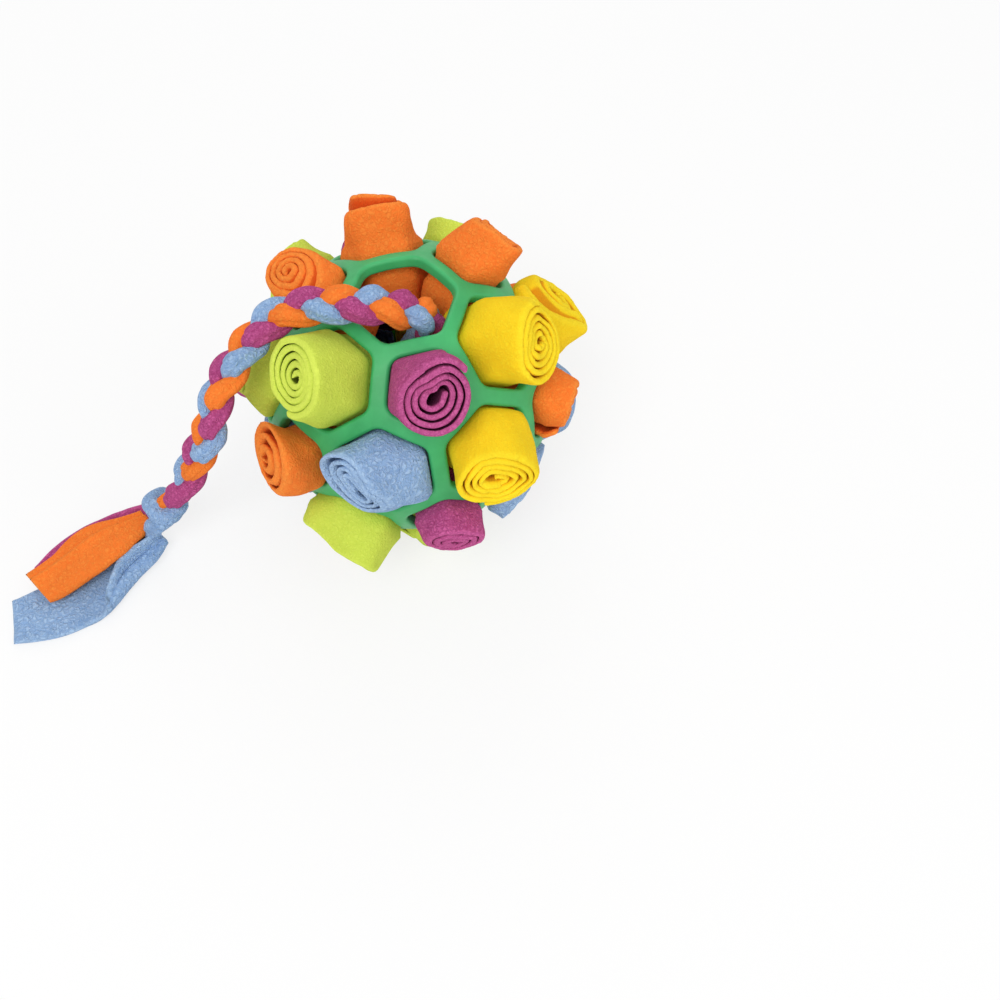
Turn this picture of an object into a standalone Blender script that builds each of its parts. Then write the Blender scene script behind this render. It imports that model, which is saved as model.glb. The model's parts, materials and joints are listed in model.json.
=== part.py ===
# Treat ball: a springy rubber cage holds a rolled strip of fleece in each of its
# holes, and treats go in the middle. The hole on top is left open, and a fleece
# rope of three strands comes out of it and lies down beside the ball.
# Lengths are in metres. The floor is z = 0, and the cage's centre is above the origin.

import math

import bmesh
import bpy
from mathutils import Matrix, Vector

# The rubber cage
cage_radius = 0.0575
wall_thickness = 0.0045
strut_width = 0.007
hole_corner_radius = 0.005
rim_rounding = 0.0010
opening_widening = 1.06
foot_clearance = 0.0045
pad_ring_radius = 0.0130
pad_ring_bead = 0.0010

# The fleece rolls
roll_fit_gap = 0.00045
roll_inner_end = 0.030
roll_stickout = 0.0145
roll_neck_lift = 0.0003
roll_belly_lift = 0.0065
roll_belly_swell = 0.0006
foot_press = 0.0012
strip_band_share = 0.78
roll_core_share = 0.30

# The rope of three strands, its knots and its loose tails
rope_radius = 0.0075
knot_radius = 0.011
hitch_radius = 0.0087
contact_gap = 0.0003
tail_thickness = 0.0025
tail_start_width = 0.012
rope_point_spacing = 0.013

# The lattice is a football's: twelve five-sided holes among twenty six-sided ones
five_sides = 5
six_sides = 6
edge_parts = 2
third_percent = 100.0 / 3.0

# A corner of a face with points along its edges lies beyond this share of its reach
corner_share = 0.99

# Steps on each stretch of the rope's smooth curve, before it is spaced evenly
fine_steps = 24

# Turns of each roll, and straight stretches in each turn, for six- and five-sided holes
roll_turns = {six_sides: 2.0, five_sides: 1.75}
turn_steps = {six_sides: 10, five_sides: 9}

# Each ring of holes ends at this angle from straight up, in degrees
ring_ends = (
    ("opening", 20.0),
    ("top_roll", 60.0),
    ("upper_roll", 90.0),
    ("lower_roll", 130.0),
    ("foot_roll", 170.0),
    ("pad", 180.0),
)

# Colours of the fleece and the rubber, as they look in daylight
colours = {
    "rubber_green": (0.083, 0.474, 0.170),
    "fleece_orange": (0.950, 0.150, 0.020),
    "fleece_yellow": (0.955, 0.640, 0.010),
    "fleece_lime": (0.530, 0.680, 0.045),
    "fleece_purple": (0.480, 0.040, 0.235),
    "fleece_blue": (0.320, 0.520, 0.800),
}

# One row for each roll: its fleece, then shares. Stickout is a share of the usual
# one, end the outer end's radius as a share of the neck's, lean how far the outer
# end sits to the east and up as shares of the neck's radius, and flat how much
# wider than round the outer end is. Seam is the angle of the strip's free edge.
roll_shares = {
    "top_roll_1": ("fleece_lime", 1.44, 0.84, 0.26, 0.02, 0.00, 270.0),
    "top_roll_2": ("fleece_purple", 1.34, 1.23, 0.00, -0.14, 0.03, 20.0),
    "top_roll_3": ("fleece_yellow", 1.12, 0.94, -0.30, -0.14, 0.02, 20.0),
    "top_roll_4": ("fleece_orange", 0.96, 1.08, -0.44, -0.24, 0.08, 300.0),
    "top_roll_5": ("fleece_orange", 1.08, 0.80, -0.14, 0.02, 0.04, 350.0),
    "top_roll_6": ("fleece_orange", 0.78, 1.04, -0.14, 0.04, 0.04, 90.0),
    "upper_roll_1": ("fleece_orange", 0.66, 1.10, -0.18, 0.16, 0.04, 160.0),
    "upper_roll_2": ("fleece_blue", 0.78, 0.96, -0.28, 0.16, 0.12, 210.0),
    "upper_roll_3": ("fleece_yellow", 0.88, 0.91, -0.30, 0.06, 0.06, 240.0),
    "upper_roll_4": ("fleece_orange", 0.68, 1.02, 0.00, -0.16, 0.02, 30.0),
    "upper_roll_5": ("fleece_yellow", 0.86, 0.96, 0.06, -0.12, 0.08, 60.0),
    "upper_roll_6": ("fleece_lime", 0.66, 0.90, 0.26, 0.06, 0.04, 100.0),
    "upper_roll_7": ("fleece_purple", 0.78, 1.10, 0.00, 0.00, 0.04, 140.0),
    "upper_roll_8": ("fleece_lime", 0.68, 0.84, -0.16, 0.00, 0.02, 280.0),
    "upper_roll_9": ("fleece_lime", 0.68, 0.88, -0.22, 0.00, 0.00, 330.0),
    "lower_roll_1": ("fleece_blue", 0.50, 0.84, 0.14, 0.10, 0.00, 120.0),
    "lower_roll_2": ("fleece_lime", 0.92, 1.00, 0.18, 0.00, 0.16, 170.0),
    "lower_roll_3": ("fleece_purple", 0.70, 1.14, 0.04, 0.06, 0.06, 220.0),
    "lower_roll_4": ("fleece_blue", 0.44, 0.80, -0.32, -0.10, 0.02, 260.0),
    "lower_roll_5": ("fleece_blue", 0.74, 0.90, 0.00, 0.00, 0.04, 310.0),
    "lower_roll_6": ("fleece_orange", 0.90, 1.10, 0.00, 0.00, 0.04, 10.0),
    "lower_roll_7": ("fleece_yellow", 0.92, 0.95, 0.00, 0.00, 0.06, 50.0),
    "lower_roll_8": ("fleece_blue", 0.92, 0.95, 0.00, 0.00, 0.04, 80.0),
    "lower_roll_9": ("fleece_purple", 1.27, 1.02, 0.00, 0.00, 0.02, 110.0),
    "foot_roll_1": ("fleece_orange", 1.00, 1.06, 0.00, 0.00, 0.00, 190.0),
    "foot_roll_2": ("fleece_lime", 1.00, 0.98, 0.00, 0.00, 0.00, 180.0),
    "foot_roll_3": ("fleece_purple", 1.00, 1.06, 0.00, 0.00, 0.00, 190.0),
    "foot_roll_4": ("fleece_yellow", 1.00, 0.98, 0.00, 0.00, 0.00, 180.0),
    "foot_roll_5": ("fleece_orange", 1.00, 1.06, 0.00, 0.00, 0.00, 190.0),
    "foot_roll_6": ("fleece_blue", 1.00, 0.98, 0.00, 0.00, 0.00, 180.0),
}

# The rope's route, from the knot among the treats, over the open hole's rim, down
# the valley between the rolls and on to the floor. Its points are chosen by hand.
rope_route = (
    (-0.0010, 0.0018, 0.0762),
    (0.0085, -0.0009, 0.0973),
    (0.0043, -0.0083, 0.1149),
    (-0.0144, -0.0075, 0.1257),
    (-0.0442, -0.0012, 0.1221),
    (-0.0669, -0.0107, 0.1055),
    (-0.0786, -0.0160, 0.0813),
    (-0.0891, -0.0120, 0.0573),
    (-0.0966, -0.0121, 0.0423),
    (-0.1084, -0.0082, 0.0258),
)
hitch_place = (-0.1132, -0.0036)

# Each loose tail: its fleece, heading in degrees, reach from the hitch and end width
tails = (
    ("tail_blue", "fleece_blue", 205.3, 0.068, 0.027),
    ("tail_orange", "fleece_orange", 198.5, 0.060, 0.021),
    ("tail_purple", "fleece_purple", 188.0, 0.057, 0.013),
)

centre_height = cage_radius + foot_clearance


def make_material(name):
    # A plain finish for one slot: rubber has a soft sheen and fleece has none.
    is_rubber = name.startswith("rubber")
    material = bpy.data.materials.new(name)
    material.use_nodes = True
    surface = material.node_tree.nodes["Principled BSDF"]
    surface.inputs["Base Color"].default_value = (*colours[name], 1.0)
    surface.inputs["Roughness"].default_value = 0.45 if is_rubber else 0.95
    surface.inputs["Metallic"].default_value = 0.0
    return material


def add_object(name, mesh, material, collection, matrix=None):
    # One named sub-part, with its material and its place.
    item = bpy.data.objects.new(name, mesh)
    item.data.materials.clear()
    item.data.materials.append(material)
    if matrix is not None:
        item.matrix_world = matrix
    collection.objects.link(item)
    return item


def add_mesh(name, shape):
    # Turn a finished bmesh into a mesh whose sharp edges stay sharp.
    bmesh.ops.recalc_face_normals(shape, faces=shape.faces)
    mesh = bpy.data.meshes.new(name)
    shape.to_mesh(mesh)
    shape.free()
    mesh.shade_smooth()
    mesh.set_sharp_from_angle(angle=math.radians(40.0))
    return mesh


def make_lattice():
    # An icosahedron with each corner cut off at a third of its edges, turned so that
    # one six-sided face looks straight up and a five-sided one beside it looks to -Y.
    lattice = bmesh.new()
    bmesh.ops.create_icosphere(lattice, subdivisions=1, radius=cage_radius)
    bmesh.ops.bevel(
        lattice,
        geom=lattice.verts[:],
        offset=third_percent,
        offset_type="PERCENT",
        segments=1,
        affect="VERTICES",
    )
    for corner in lattice.verts:
        corner.co = corner.co.normalized() * cage_radius
    lattice.normal_update()
    lattice.faces.ensure_lookup_table()
    top = next(face for face in lattice.faces if len(face.verts) == six_sides)
    level = top.normal.rotation_difference(Vector((0.0, 0.0, 1.0))).to_matrix()
    bmesh.ops.rotate(lattice, verts=lattice.verts, cent=(0.0, 0.0, 0.0), matrix=level)
    neighbours = [face for edge in top.edges for face in edge.link_faces]
    beside = next(face for face in neighbours if len(face.verts) == five_sides)
    middle = beside.calc_center_median()
    turn = Matrix.Rotation(-math.pi / 2.0 - math.atan2(middle.y, middle.x), 3, "Z")
    bmesh.ops.rotate(lattice, verts=lattice.verts, cent=(0.0, 0.0, 0.0), matrix=turn)
    lattice.normal_update()
    return lattice


def list_holes(lattice):
    # Name each face of the lattice by its ring and its count around the ring, and
    # give its direction from the centre and its number of sides.
    rings = {name: [] for name, end in ring_ends}
    for face in lattice.faces:
        direction = face.calc_center_median().normalized()
        polar = math.degrees(math.acos(max(-1.0, min(1.0, direction.z))))
        ring = next(name for name, end in ring_ends if polar <= end)
        azimuth = math.atan2(direction.y, direction.x)
        rings[ring].append((azimuth, direction, len(face.verts)))
    holes = {}
    for ring, members in rings.items():
        members.sort(key=lambda member: member[0])
        alone = len(members) == 1
        for count, (azimuth, direction, sides) in enumerate(members, start=1):
            name = ring if alone else f"{ring}_{count}"
            holes[name] = (direction, sides)
    return holes


def lattice_edge():
    # The edge of a football lattice whose corners lie on the cage's outer face.
    golden = (1.0 + math.sqrt(5.0)) / 2.0
    return 2.0 * cage_radius / math.sqrt(9.0 * golden + 10.0)


def hole_slope(sides):
    # How fast a hole's straight walls move away from its axis, going outwards, as
    # both lie in planes through the cage's centre.
    edge = lattice_edge()
    half_angle = math.pi / sides
    corner_reach = edge / (2.0 * math.sin(half_angle))
    face_depth = math.sqrt(cage_radius ** 2 - corner_reach ** 2)
    half_width = edge / (2.0 * math.tan(half_angle)) - strut_width / 2.0
    return half_width / face_depth


def hole_depth(sides):
    # How far along its axis, from the cage's centre, a hole's outer rim lies.
    return cage_radius / math.sqrt(1.0 + hole_slope(sides) ** 2)


def build_cage(lattice, collection, rubber):
    # The lattice's faces are inset by half a strut, their corners are rounded, the
    # opening's is made a little wider, and all is pushed out to the sphere. The holes
    # are deleted, and Solidify and Bevel make the wall and its rounded rims. The
    # lowest face stays shut as a flat pad.
    shell = lattice.copy()
    bmesh.ops.subdivide_edges(shell, edges=shell.edges[:], cuts=edge_parts - 1)
    faces = shell.faces[:]
    bmesh.ops.inset_individual(
        shell, faces=faces, thickness=strut_width / 2.0, use_even_offset=True
    )
    pad = min(faces, key=lambda face: face.calc_center_median().z)
    opening = max(faces, key=lambda face: face.calc_center_median().z)
    for face in faces:
        middle = face.calc_center_median()
        sides = len(face.verts) // edge_parts
        reach = max((corner.co - middle).length for corner in face.verts)
        cut = hole_corner_radius * (1.0 / math.cos(math.pi / sides) - 1.0)
        for corner in face.verts:
            spoke = corner.co - middle
            if spoke.length > reach * corner_share:
                spoke = spoke * (1.0 - cut / reach)
            if face is opening:
                spoke = spoke * opening_widening
            corner.co = middle + spoke
    outer = [corner for corner in shell.verts if corner not in set(pad.verts)]
    for corner in outer:
        corner.co = corner.co.normalized() * cage_radius
    bmesh.ops.delete(shell, geom=[face for face in faces if face is not pad], context="FACES_ONLY")
    bmesh.ops.translate(shell, verts=shell.verts, vec=(0.0, 0.0, centre_height))
    cage = add_object("rubber_cage", add_mesh("rubber_cage", shell), rubber, collection)
    wall = cage.modifiers.new("wall", "SOLIDIFY")
    wall.thickness = wall_thickness
    wall.offset = -1.0
    wall.use_even_offset = False
    rims = cage.modifiers.new("rims", "BEVEL")
    rims.width = rim_rounding
    rims.segments = 1
    rims.limit_method = "ANGLE"
    rims.angle_limit = math.radians(50.0)
    return cage


def add_pad_ring(cage, cutters, pad_height):
    # A raised ring on the flat pad, half sunk in it and joined to it.
    bpy.ops.mesh.primitive_torus_add(
        major_radius=pad_ring_radius,
        minor_radius=pad_ring_bead,
        major_segments=24,
        minor_segments=6,
        location=(0.0, 0.0, pad_height),
    )
    ring = bpy.context.object
    ring.name = "pad_ring_guide"
    move_to_guides(ring, cutters)
    join = cage.modifiers.new("pad_ring", "BOOLEAN")
    join.operation = "UNION"
    join.object = ring


def move_to_guides(item, cutters):
    # A guide shapes another object and isn't part of the ball.
    for holder in item.users_collection:
        holder.objects.unlink(item)
    cutters.objects.link(item)
    item.hide_render = True
    item.display_type = "WIRE"


def strip_place(turned, turns):
    # Radius of a rolled strip, as a share of the roll's own, after so many turns from
    # its free edge. The first turn hugs the roll's outside before it tucks under.
    drop = turned ** 3 if turned < 1.0 else turned
    return 1.0 - (1.0 - roll_core_share) / turns * drop


def strip_section(sides, seam):
    # A rolled strip seen from its end at unit radius: its outer side from the free
    # edge to the core, then its inner side back again.
    turns = roll_turns[sides]
    steps = round(turns * turn_steps[sides])
    band = (1.0 - roll_core_share) / turns * strip_band_share
    outer = []
    inner = []
    for step in range(steps + 1):
        turned = turns * step / steps
        angle = seam + 2.0 * math.pi * turned
        spoke = Vector((math.cos(angle), math.sin(angle)))
        radius = strip_place(turned, turns)
        outer.append(spoke * radius)
        inner.append(spoke * (radius - band))
    return outer + inner[::-1]


def roll_stations(name, direction, sides):
    # Where along its axis, from the cage's centre, a roll changes: its inner end, its
    # neck in the hole's rim, its belly just outside and its outer end, each with its
    # radius. It follows the hole's slope inwards, so it pulls straight out.
    slope = hole_slope(sides)
    neck_depth = hole_depth(sides) + roll_neck_lift
    neck_radius = slope * hole_depth(sides) - roll_fit_gap
    inner_radius = slope * roll_inner_end - roll_fit_gap
    belly_radius = neck_radius + roll_belly_swell
    end_share = roll_shares[name][2]
    end_radius = neck_radius * end_share
    end_depth = cage_radius + roll_stickout * roll_shares[name][1]
    if name.startswith("foot"):
        # The outer end's lowest straight side presses a little way into the floor.
        down = -direction.z
        across = math.sqrt(1.0 - down ** 2)
        flat_radius = end_radius * math.cos(math.pi / turn_steps[sides])
        end_depth = (centre_height + foot_press - flat_radius * across) / down
    belly_depth = neck_depth + roll_belly_lift
    return (
        (roll_inner_end, inner_radius),
        (neck_depth, neck_radius),
        (belly_depth, belly_radius),
        (end_depth, end_radius),
    )


def roll_frame(direction, depth):
    # A roll's own axes: X to the east around the ball, Y up and Z out of its hole.
    east = Vector((-direction.y, direction.x, 0.0)).normalized()
    up = direction.cross(east)
    turned = Matrix((east, up, direction)).transposed().to_4x4()
    origin = direction * depth + Vector((0.0, 0.0, centre_height))
    return Matrix.Translation(origin) @ turned


def build_roll(name, direction, sides, collection, fleece):
    # A strip lofted from its inner end to its outer end, with its origin on its axis
    # at the hole's rim.
    row = roll_shares[name]
    lean_east, lean_up, flat_share, seam_degrees = row[3], row[4], row[5], row[6]
    stations = roll_stations(name, direction, sides)
    section = strip_section(sides, math.radians(seam_degrees))
    rim = hole_depth(sides)
    neck_depth, neck_radius = stations[1]
    end_depth = stations[-1][0]
    shape = bmesh.new()
    rings = []
    for depth, radius in stations:
        outside = max(0.0, (depth - neck_depth) / (end_depth - neck_depth))
        lean = Vector((lean_east, lean_up)) * neck_radius * outside
        wide = Vector((1.0 + flat_share * outside, 1.0 - flat_share * outside))
        ring = []
        for point in section:
            flat = point * wide * radius + lean
            ring.append(shape.verts.new((flat.x, flat.y, depth - rim)))
        rings.append(ring)
    count = len(section)
    for low, high in zip(rings, rings[1:]):
        for step in range(count):
            after = (step + 1) % count
            shape.faces.new((low[step], low[after], high[after], high[step]))
    for ring in (rings[0], rings[-1]):
        for step in range(count // 2 - 1):
            back = count - 1 - step
            shape.faces.new((ring[step], ring[step + 1], ring[back - 1], ring[back]))
    return add_object(name, add_mesh(name, shape), fleece, collection, roll_frame(direction, rim))


def cut_at_floor(roll, floor):
    # A foot roll is squashed flat where it stands.
    cut = roll.modifiers.new("floor_cut", "BOOLEAN")
    cut.operation = "DIFFERENCE"
    cut.object = floor


def add_floor_guide(cutters):
    # A block whose top is the floor, under all the foot rolls.
    size = 2.0 * (centre_height + cage_radius)
    bpy.ops.mesh.primitive_cube_add(size=size, location=(0.0, 0.0, -size / 2.0))
    floor = bpy.context.object
    floor.name = "floor_guide"
    move_to_guides(floor, cutters)
    return floor


def smooth_route(points, spacing):
    # Evenly spaced points on a smooth curve through the route's own points.
    ends = [points[0] * 2.0 - points[1], *points, points[-1] * 2.0 - points[-2]]
    fine = []
    for before, start, finish, after in zip(ends, ends[1:], ends[2:], ends[3:]):
        for step in range(fine_steps):
            t = step / fine_steps
            fine.append(catmull_rom(before, start, finish, after, t))
    fine.append(points[-1])
    length = sum((b - a).length for a, b in zip(fine, fine[1:]))
    count = round(length / spacing)
    even = [fine[0]]
    walked = 0.0
    for a, b in zip(fine, fine[1:]):
        step = (b - a).length
        while len(even) < count and walked + step >= length * len(even) / count:
            share = (length * len(even) / count - walked) / step
            even.append(a.lerp(b, share))
        walked += step
    even.append(fine[-1])
    return even


def catmull_rom(before, start, finish, after, t):
    # The usual cubic through start and finish, with slopes from their neighbours.
    return 0.5 * (
        2.0 * start
        + (finish - before) * t
        + (2.0 * before - 5.0 * start + 4.0 * finish - after) * t ** 2
        + (3.0 * start - before - 3.0 * finish + after) * t ** 3
    )


def build_rope(collection, fleece):
    # The free stretch of rope as a plain tube, from the inner knot to the hitch.
    points = [Vector(point) for point in rope_route]
    hitch = Vector((*hitch_place, hitch_radius + contact_gap))
    away = (points[-1] - hitch).normalized()
    points.append(hitch + away * (hitch_radius + contact_gap))
    even = smooth_route(points, rope_point_spacing)
    curve = bpy.data.curves.new("rope", "CURVE")
    curve.dimensions = "3D"
    curve.bevel_depth = rope_radius
    curve.bevel_resolution = 2
    curve.use_fill_caps = True
    spline = curve.splines.new("POLY")
    spline.points.add(len(even) - 1)
    for point, place in zip(spline.points, even):
        point.co = (*place, 1.0)
    add_object("rope", curve, fleece, collection)
    return even


def build_knot(name, centre, radius, collection, fleece):
    # A tied knot as a plain ball.
    shape = bmesh.new()
    bmesh.ops.create_uvsphere(shape, u_segments=12, v_segments=8, radius=radius)
    place = Matrix.Translation(centre)
    return add_object(name, add_mesh(name, shape), fleece, collection, place)


def build_tail(row, layer, collection, fleece):
    # A loose strip that widens from the hitch to its cut end, lying on the tails
    # under it. It is a grid turned to its heading and thickened upwards.
    name, slot, heading, reach, end_width = row
    shape = bmesh.new()
    bmesh.ops.create_grid(shape, x_segments=6, y_segments=2, size=0.5)
    start = hitch_radius + contact_gap
    for corner in shape.verts:
        along = corner.co.x + 0.5
        width = tail_start_width + (end_width - tail_start_width) * along
        corner.co.x = start + (reach - start) * along
        corner.co.y = corner.co.y * width
    height = contact_gap + layer * (tail_thickness + contact_gap)
    hitch = Vector((*hitch_place, height))
    place = Matrix.Translation(hitch) @ Matrix.Rotation(math.radians(heading), 4, "Z")
    tail = add_object(name, add_mesh(name, shape), fleece, collection, place)
    body = tail.modifiers.new("body", "SOLIDIFY")
    body.thickness = tail_thickness
    body.offset = 1.0
    return tail


def make_collection(name):
    collection = bpy.data.collections.new(name)
    bpy.context.scene.collection.children.link(collection)
    return collection


def build_ball():
    for item in list(bpy.data.objects):
        bpy.data.objects.remove(item, do_unlink=True)
    ball = make_collection("treat_ball")
    cutters = make_collection("guides")
    finishes = {name: make_material(name) for name in colours}
    lattice = make_lattice()
    holes = list_holes(lattice)
    cage = build_cage(lattice, ball, finishes["rubber_green"])
    pad_depth = min(corner.co.z for corner in lattice.verts)
    add_pad_ring(cage, cutters, centre_height + pad_depth)
    lattice.free()
    floor = add_floor_guide(cutters)
    for name, row in roll_shares.items():
        direction, sides = holes[name]
        roll = build_roll(name, direction, sides, ball, finishes[row[0]])
        if name.startswith("foot"):
            cut_at_floor(roll, floor)
    route = build_rope(ball, finishes["fleece_purple"])
    inwards = (route[0] - route[1]).normalized()
    knot_centre = route[0] + inwards * (knot_radius + contact_gap)
    build_knot("inner_knot", knot_centre, knot_radius, ball, finishes["fleece_orange"])
    hitch_centre = Vector((*hitch_place, hitch_radius + contact_gap))
    build_knot("tail_hitch", hitch_centre, hitch_radius, ball, finishes["fleece_blue"])
    for layer, row in enumerate(tails):
        build_tail(row, layer, ball, finishes[row[1]])


if __name__ == "__main__":
    build_ball()
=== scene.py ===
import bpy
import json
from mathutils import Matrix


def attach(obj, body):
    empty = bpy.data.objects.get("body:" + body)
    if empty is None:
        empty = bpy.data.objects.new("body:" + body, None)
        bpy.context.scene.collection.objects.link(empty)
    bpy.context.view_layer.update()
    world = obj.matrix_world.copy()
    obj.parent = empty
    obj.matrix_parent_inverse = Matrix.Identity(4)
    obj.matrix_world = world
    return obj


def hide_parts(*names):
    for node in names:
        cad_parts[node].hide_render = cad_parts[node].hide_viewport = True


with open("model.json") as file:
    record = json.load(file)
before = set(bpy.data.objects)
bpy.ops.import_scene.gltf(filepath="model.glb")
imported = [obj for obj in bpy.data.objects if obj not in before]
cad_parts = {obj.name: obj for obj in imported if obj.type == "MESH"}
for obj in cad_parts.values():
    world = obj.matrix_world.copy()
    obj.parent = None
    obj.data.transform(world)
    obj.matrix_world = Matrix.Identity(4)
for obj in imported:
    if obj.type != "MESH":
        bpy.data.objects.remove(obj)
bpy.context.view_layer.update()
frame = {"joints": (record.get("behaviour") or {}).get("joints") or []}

import itertools
import json
import math
import bmesh
import bpy
import numpy as np
from mathutils import Matrix, Vector

# Lengths are in metres, written in mm. The ball's centre stands above the origin.
mm = 0.001
ballCentre = np.array([0.0, 0.0, 62 * mm])
weldDistance = 0.005 * mm


def hexToLinear(hexText):
    # sRGB hex to linear: the straight part below 0.04045 and the 2.4 power above it
    channels = np.array([int(hexText[i:i + 2], 16) for i in (0, 2, 4)]) / 255.0
    linear = np.where(channels <= 0.04045, channels / 12.92, ((channels + 0.055) / 1.055) ** 2.4)
    return (*(float(value) for value in linear), 1.0)


def emptyTree(owner):
    owner.use_nodes = True
    owner.node_tree.nodes.clear()
    return owner.node_tree


def newMaterial(name):
    material = bpy.data.materials.new(name)
    return material, emptyTree(material)


def addObject(name, data):
    made = bpy.data.objects.new(name, data)
    bpy.context.scene.collection.objects.link(made)
    return made


def addNode(tree, kind, settings=None, links=None):
    # one shader node: its properties or input values, then what feeds its inputs, which
    # is a node's first output or the output named
    node = tree.nodes.new("ShaderNode" + kind)
    for key, value in (settings or {}).items():
        if isinstance(key, str) and hasattr(node, key):
            setattr(node, key, value)
        else:
            node.inputs[key].default_value = value
    for key, source in (links or {}).items():
        tree.links.new(getattr(source, "outputs", [source])[0], node.inputs[key])
    return node


def unit(vectors):
    return vectors / np.linalg.norm(vectors, axis=-1, keepdims=True)


def smoothStep(low, high, x):
    # 0 below low, 1 above high, and 3t^2 - 2t^3 between them
    t = np.clip((x - low) / (high - low), 0.0, 1.0)
    return t * t * (3.0 - 2.0 * t)


# What scrambles a lattice corner into a number: a prime for each axis and one for all.
primes = (73856093, 19349663, 83492791, 1274126177)


def softNoise(points, size, seed):
    # smooth values from -1 to 1: a random number at each corner of a cubic lattice of
    # that size, blended along the three axes with an S-curve
    cell = points / size + seed * np.array([17.13, 5.71, 9.37])
    base = np.floor(cell).astype(np.int64)
    part = cell - base
    part = part * part * (3.0 - 2.0 * part)
    total = np.zeros(points.shape[:-1])
    for corner in itertools.product((0, 1), repeat=3):
        mixed = np.bitwise_xor.reduce((base + np.array(corner)) * np.array(primes[:3]), axis=-1)
        mixed = ((mixed ^ (mixed >> 13)) * primes[3]) & 0x7FFFFFFF
        value = (mixed % 100003) / 50001.0 - 1.0
        total += value * np.prod(np.where(corner, part, 1.0 - part), axis=-1)
    return total


def noiseVector(points, size, seed):
    return np.stack([softNoise(points, size, seed + step) for step in (0, 11, 23)], axis=-1)


def smoothCurve(points, steps):
    # Catmull-Rom: a cubic between each two points, with slopes from their neighbours
    points = np.asarray(points, float)
    p = np.vstack([2 * points[:1] - points[1:2], points, 2 * points[-1:] - points[-2:-1]])
    t = np.linspace(0.0, 1.0, steps, endpoint=False)[None, :, None]
    a, b, c, d = (p[i:len(p) - 3 + i, None, :] for i in range(4))
    square, cube = 2 * a - 5 * b + 4 * c - d, 3 * b - a - 3 * c + d
    curve = 0.5 * (2 * b + (c - a) * t + square * t ** 2 + cube * t ** 3)
    return np.vstack([curve.reshape(-1, points.shape[1]), points[-1:]])


def walkedAlong(curve):
    # the distance walked along a curve at each of its points
    steps = np.linalg.norm(np.diff(curve, axis=0), axis=1)
    return np.concatenate([[0.0], np.cumsum(steps)])


def evenly(curve, count):
    # the same curve with its points at equal distances, and its length
    walked = walkedAlong(curve)
    wanted = np.linspace(0.0, walked[-1], count)
    return np.stack([np.interp(wanted, walked, column) for column in curve.T], axis=1), walked[-1]


def smoothed(values, width):
    # a moving mean with a bell-shaped weight, so that values given at a few places join
    kernel = np.hanning(width) / np.hanning(width).sum()
    return np.convolve(values, kernel, mode="valid")


def roundedEnd(share):
    # a quarter circle: 0 at the edge and 1 from share 1 on
    return np.sqrt(np.clip(1 - (1 - np.clip(share, 0, 1)) ** 2, 0, 1))


def gridMesh(name, sheets, materials, body, node=None, merge=True):
    # Each sheet is (points, closed columns, material slot, painted light share: a painted
    # highlight on cut edges above zero, painted shade in grooves below it): neighbours on its
    # grid are joined in quads, and round again where it is closed.
    vertices, quads, slots, shares, start = [], [], [], [], 0
    for points, closed, slot, share in sheets:
        rows, columns = points.shape[:2]
        r, c = np.meshgrid(np.arange(rows - 1), np.arange(columns - (not closed)), indexing="ij")
        here, following = r * columns + c, r * columns + (c + 1) % columns
        quad = np.stack([here, following, following + columns, here + columns], axis=-1)
        vertices.append(points.reshape(-1, 3))
        quads.append(quad.reshape(-1, 4) + start)
        slots.append(np.full(quad.shape[0] * quad.shape[1], slot))
        shares.append(np.broadcast_to(share, (rows, columns)).ravel())
        start += rows * columns
    vertices, quads = np.concatenate(vertices), np.concatenate(quads)
    mesh = bpy.data.meshes.new(name)
    mesh.vertices.add(len(vertices))
    mesh.vertices.foreach_set("co", vertices.astype(np.float32).ravel())
    mesh.loops.add(quads.size)
    mesh.loops.foreach_set("vertex_index", quads.astype(np.int32).ravel())
    mesh.polygons.add(len(quads))
    mesh.polygons.foreach_set("loop_start", np.arange(0, quads.size, 4, dtype=np.int32))
    for material in materials:
        mesh.materials.append(material)
    mesh.polygons.foreach_set("material_index", np.concatenate(slots).astype(np.int32))
    mesh.update(calc_edges=True)
    # per point: a painted highlight on cut edges, and painted shade in grooves where below zero
    edge = mesh.attributes.new("paintedEdgeLightAndGrooveShade", "FLOAT", "POINT")
    edge.data.foreach_set("value", np.concatenate(shares).astype(np.float32))
    if merge:
        shape = bmesh.new()
        shape.from_mesh(mesh)
        bmesh.ops.remove_doubles(shape, verts=shape.verts, dist=weldDistance)
        bmesh.ops.recalc_face_normals(shape, faces=shape.faces)
        shape.to_mesh(mesh)
        shape.free()
    mesh.shade_smooth()
    piece = addObject(name, mesh)
    if body:
        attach(piece, body)
    if node:
        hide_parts(node)
    return piece


def flatSize(points, width):
    # what a strip was cut to: its area over its width gives its length
    across = points[1:, :-1] - points[:-1, :-1]
    along = points[:-1, 1:] - points[:-1, :-1]
    area = np.linalg.norm(np.cross(across, along), axis=-1).sum()
    return (round(float(width), 3), round(float(area / width), 3))


# The camera stands in front of the ball and above it, and looks past its right side.
view = dict(
    place=(-38.0, -253.4, 363.9),  # from the ball's centre, mm
    aim=(25.0, -46.6, -25.1),      # a point on the camera's axis, from the same centre, mm
    roll=1.77,                     # degrees
    lens=39.6,                     # mm on a 36 mm sensor
)


def addCamera():
    place = Vector(ballCentre) + Vector(view["place"]) * mm
    ahead = (Vector(ballCentre) + Vector(view["aim"]) * mm - place).normalized()
    right = ahead.cross(Vector((0, 0, 1))).normalized()
    up = right.cross(ahead)
    lens = bpy.data.cameras.new("camera")
    lens.lens = view["lens"]
    lens.sensor_width = 36.0
    lens.clip_start = 0.01
    camera = addObject("camera", lens)
    turn = Matrix((right, up, -ahead)).transposed().to_4x4()
    roll = Matrix.Rotation(math.radians(view["roll"]), 4, "Z")
    camera.matrix_world = Matrix.Translation(place) @ turn @ roll
    bpy.context.scene.camera = camera


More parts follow.
